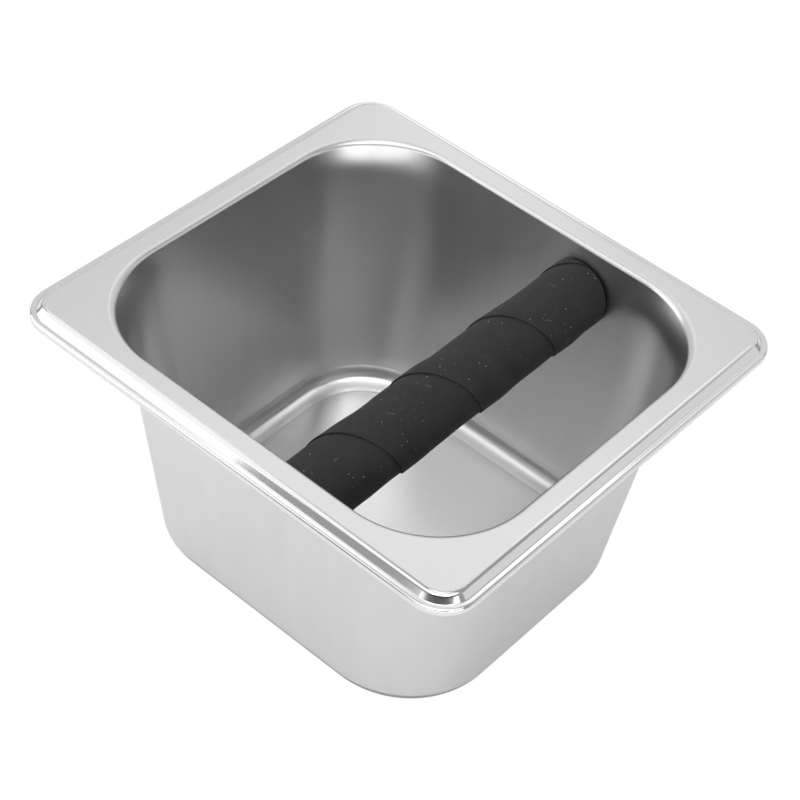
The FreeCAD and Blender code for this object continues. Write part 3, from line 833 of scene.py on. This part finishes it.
# The unlit room behind the camera, as bearings and elevations in degrees
ROOM_STRENGTH = 0.04
ROOM_HALF_WIDTH = 42.0
ROOM_ELEVATION = 40.0
ROOM_HALF_HEIGHT = 10.0
ROOM_SOFTNESS = 5.0

# Name, bearing in degrees from the camera's side turning left, elevation in degrees, distance from the
# middle of the rim, width, height, radiance
SOFTBOXES = [
    ("overhead", 0.0, 90.0, 1.1, 0.5, 0.5, 1.0),
    ("high_left", 90.0, 52.0, 1.2, 0.9, 0.7, 0.85),
    ("high_front_left", 48.0, 60.0, 1.2, 0.5, 0.4, 1.8),
    ("high_front", 0.0, 60.0, 1.2, 1.0, 0.45, 2.7),
    ("high_front_right", -48.0, 60.0, 1.2, 0.5, 0.4, 1.8),
    ("high_behind", 180.0, 60.0, 1.2, 1.2, 0.50, 0.5),
    ("behind_left", 152.0, 30.0, 1.3, 1.4, 1.3, 0.40),
    ("behind_right", -152.0, 30.0, 1.3, 1.4, 1.3, 0.45),
    ("left", 90.0, 18.0, 1.2, 1.0, 0.7, 1.7),
    ("right", -90.0, 18.0, 1.2, 1.0, 0.7, 0.45),
    ("front_left", 38.0, 15.0, 1.2, 0.7, 0.5, 1.1),
    ("front", 4.0, 15.0, 1.2, 0.8, 0.5, 1.6),
    ("front_right", -34.0, 15.0, 1.2, 0.7, 0.5, 1.9),
]


def direction_of(bearing, elevation):
    """Unit vector towards a bearing, in degrees from the camera's side turning left, and an elevation."""
    turn = math.radians(CAMERA_BEARING) - math.radians(bearing)
    rise = math.radians(elevation)
    return Vector((math.sin(turn) * math.cos(rise), -math.cos(turn) * math.cos(rise), math.sin(rise)))


def mix_shaders(tree, share, first, second):
    """First shader where share is 0, second where it is 1."""
    node = tree.nodes.new("ShaderNodeMixShader")
    feed(tree, node.inputs[0], share)
    feed(tree, node.inputs[1], first)
    feed(tree, node.inputs[2], second)
    return node.outputs[0]


def make_floor():
    """Pale floor: seen as pure white, lit like a matt white sweep, and open from below."""
    bpy.ops.mesh.primitive_plane_add(size=FLOOR_SIZE)
    floor = bpy.context.object
    floor.name = "floor"
    material = bpy.data.materials.new("pale_floor")
    material.use_nodes = True
    tree = material.node_tree
    tree.nodes.clear()
    output = tree.nodes.new("ShaderNodeOutputMaterial")
    path = tree.nodes.new("ShaderNodeLightPath")
    geometry = tree.nodes.new("ShaderNodeNewGeometry")
    white = add_node(tree, "ShaderNodeEmission", Color=(1, 1, 1, 1), Strength=1.0)
    matt = add_node(tree, "ShaderNodeBsdfDiffuse", Color=(FLOOR_TONE, FLOOR_TONE, FLOOR_TONE, 1))
    clear = tree.nodes.new("ShaderNodeBsdfTransparent")
    seen = path.outputs["Is Camera Ray"]
    pale = mix_shaders(tree, seen, matt.outputs[0], white.outputs[0])
    below = product(tree, geometry.outputs["Backfacing"], seen)
    # Clear to rays that start close to it, so that the pan's underside is lit when seen from below
    touching = maths(tree, "LESS_THAN", path.outputs["Ray Length"], FLOOR_TOUCH)
    open_share = maths(tree, "MAXIMUM", below, touching)
    feed(tree, output.inputs["Surface"], mix_shaders(tree, open_share, pale, clear.outputs[0]))
    floor.data.materials.append(material)


def make_world():
    """White to the camera, a softer grey as light, and an unlit room behind the camera."""
    world = bpy.data.worlds.new("studio")
    scene.world = world
    world.use_nodes = True
    tree = world.node_tree
    background = tree.nodes["Background"]
    path = tree.nodes.new("ShaderNodeLightPath")
    direction = tree.nodes.new("ShaderNodeTexCoord").outputs["Generated"]
    leftwards = vector_maths(tree, "DOT_PRODUCT", direction, direction_of(90.0, 0.0)).outputs["Value"]
    forwards = vector_maths(tree, "DOT_PRODUCT", direction, direction_of(0.0, 0.0)).outputs["Value"]
    upwards = vector_maths(tree, "DOT_PRODUCT", direction, (0, 0, 1)).outputs["Value"]
    off_bearing = maths(tree, "ABSOLUTE", maths(tree, "ARCTAN2", leftwards, forwards))
    elevation = maths(tree, "ARCSINE", upwards)
    off_elevation = maths(tree, "ABSOLUTE", maths(tree, "SUBTRACT", elevation, math.radians(ROOM_ELEVATION)))

    def inside(off_middle, half):
        edge = (math.radians(half - ROOM_SOFTNESS), math.radians(half + ROOM_SOFTNESS))
        return remap(tree, off_middle, edge, (1.0, 0.0))

    room = product(tree, inside(off_bearing, ROOM_HALF_WIDTH), inside(off_elevation, ROOM_HALF_HEIGHT))
    as_light = mix_values(tree, room, WORLD_STRENGTH, ROOM_STRENGTH)
    feed(tree, background.inputs["Strength"], mix_values(tree, path.outputs["Is Camera Ray"], as_light, 1.0))
    background.inputs["Color"].default_value = (1, 1, 1, 1)


def make_softbox(name, bearing, elevation, distance, width, height, radiance):
    """Rectangular soft light facing the middle of the rim."""
    light = bpy.data.lights.new(name, "AREA")
    light.shape = "RECTANGLE"
    light.size = width
    light.size_y = height
    # The power goes with the area, so that radiance alone says how bright the light looks
    light.energy = radiance * math.pi * width * height
    lamp = bpy.data.objects.new(name, light)
    scene.collection.objects.link(lamp)
    towards = direction_of(bearing, elevation)
    lamp.location = Vector((0, 0, RIM_TOP)) + towards * distance
    lamp.rotation_mode = "QUATERNION"
    lamp.rotation_quaternion = towards.to_track_quat("Z", "Y")
    lamp.visible_camera = False


def make_camera():
    """Long lens, a little turned about its own axis."""
    turn = math.radians(CAMERA_BEARING)
    back = direction_of(0.0, CAMERA_ELEVATION)
    level_right = Vector((math.cos(turn), math.sin(turn), 0))
    level_up = back.cross(level_right)
    right = math.cos(CAMERA_ROLL) * level_right + math.sin(CAMERA_ROLL) * level_up
    up = math.cos(CAMERA_ROLL) * level_up - math.sin(CAMERA_ROLL) * level_right
    data = bpy.data.cameras.new("camera")
    data.sensor_width = CAMERA_SENSOR
    data.lens = CAMERA_LENS
    data.shift_x, data.shift_y = CAMERA_SHIFT
    camera = bpy.data.objects.new("camera", data)
    scene.collection.objects.link(camera)
    placed = Matrix((right, up, back)).transposed().to_4x4()
    placed.translation = CAMERA_TARGET + back * CAMERA_DISTANCE
    camera.matrix_world = placed
    scene.camera = camera


# ---------------------------------------------------------------- assembly

def finish_node(node_name, material):
    """Gives a CAD node that keeps its shape its material."""
    mesh = nodes[node_name].data
    if not mesh.materials:
        mesh.materials.append(material)
    for index in range(len(mesh.materials)):
        mesh.materials[index] = material


make_pan(make_pan_steel())
make_tape(make_tape_cloth())
tube_steel = make_turned_steel("tube_steel_drawn", 0.60, 0.30, (2600, 30, 2600))
insert_steel = make_turned_steel("insert_steel_turned", 0.52, 0.34, (900, 2400, 900))
screw_steel = make_turned_steel("screw_steel_plain", 0.60, 0.24, 1800)
washer_steel = make_turned_steel("washer_steel_plain", 0.58, 0.30, 2200)
finish_node("bar_core_tube", tube_steel)
finish_node("end_insert_front", insert_steel)
finish_node("end_insert_back", insert_steel)
finish_node("cushion_sleeve", make_sleeve_rubber())
finish_node("bar_screws", screw_steel)
finish_node("screw_washers", washer_steel)

make_floor()
make_world()
for softbox in SOFTBOXES:
    make_softbox(*softbox)
make_camera()
scene.view_settings.view_transform = "Standard"
